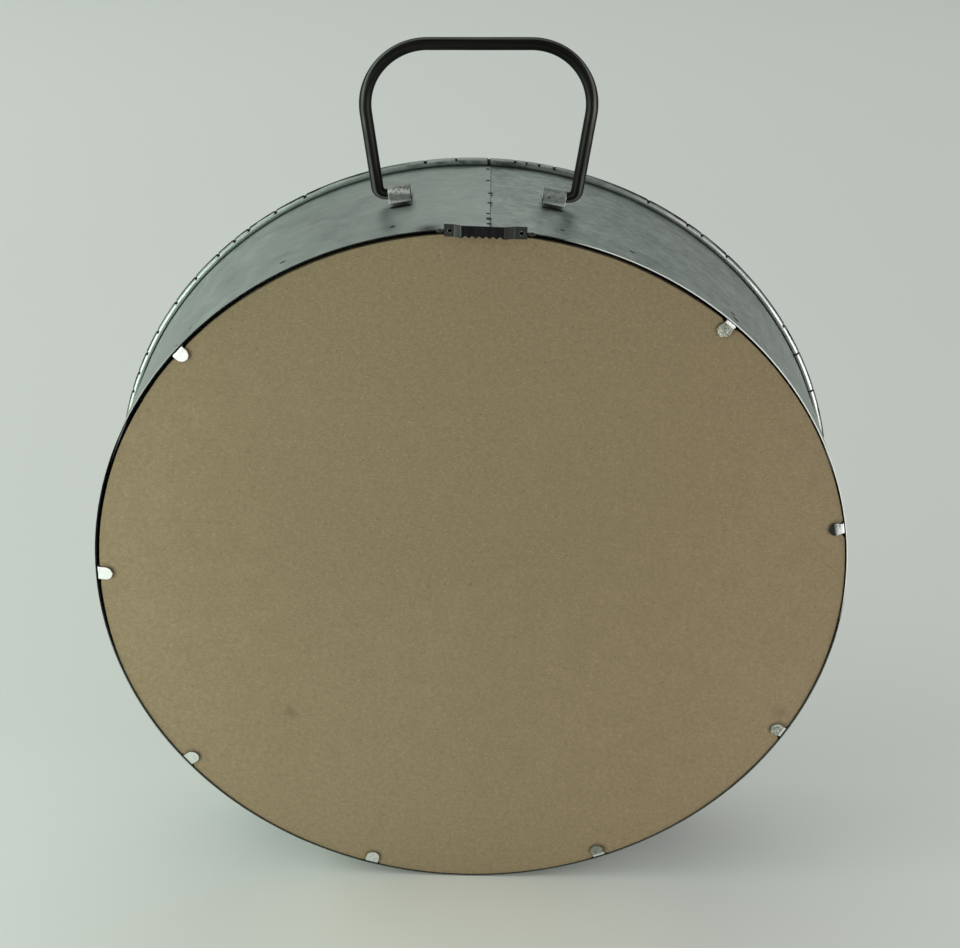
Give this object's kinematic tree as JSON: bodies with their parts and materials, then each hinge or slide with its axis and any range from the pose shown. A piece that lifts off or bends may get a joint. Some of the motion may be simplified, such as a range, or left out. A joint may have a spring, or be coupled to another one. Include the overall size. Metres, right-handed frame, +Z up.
{
  "type": "round wall mirror",
  "caption": "Round wall mirror in a deep galvanised sheet-steel drum frame with a swinging bail handle on top and a sawtooth hanger on its back.",
  "frame": {"origin": "the drum's centre on the back face of the backing board", "axes": "-Y out of the back, towards the wall; +Y out of the mirror; +Z up, towards the handle; +X to the right seen from behind"},
  "size_m": [0.414, 0.1037, 0.4923],
  "materials": {
    "galvanised": "weathered hot-dip galvanised sheet, mottled grey-green",
    "bright_galvanised": "bright galvanised sheet with scuffs",
    "dark_rod": "oiled black rod with faint draw lines",
    "black_steel": "satin black",
    "weld": "burnt weld metal",
    "rivet": "dull, darkened",
    "wire": "plain drawn wire",
    "hardboard": "raw brown hardboard",
    "mirror": "silvered glass"
  },
  "bodies": {
    "drum": {"drum_band": "galvanised", "rim_wire": "wire", "seam_rivet_1": "rivet", "seam_rivet_2": "rivet", "seam_rivet_3": "rivet", "seam_rivet_4": "rivet", "seam_rivet_5": "rivet", "seam_rivet_6": "rivet", "seam_rivet_7": "rivet", "glass_ledge": "galvanised", "backing_board": "hardboard", "mirror_glass": "mirror", "retaining_tab_1": "bright_galvanised", "retaining_tab_2": "bright_galvanised", "retaining_tab_3": "bright_galvanised", "retaining_tab_4": "bright_galvanised", "retaining_tab_5": "bright_galvanised", "retaining_tab_6": "bright_galvanised", "retaining_tab_7": "bright_galvanised", "retaining_tab_8": "bright_galvanised", "lug_left": "bright_galvanised", "lug_right": "bright_galvanised", "sawtooth_hanger": "black_steel", "hanger_weld_left": "weld", "hanger_weld_right": "weld"},
    "handle": {"bail_handle": "dark_rod"}
  },
  "joints": [
    {"name": "handle_swing", "type": "hinge", "parent": "drum", "child": "handle", "pos_m": [0, 0.0455, 0.2038], "axis": [1, 0, 0], "range_deg": [-90, 94]}
  ]
}
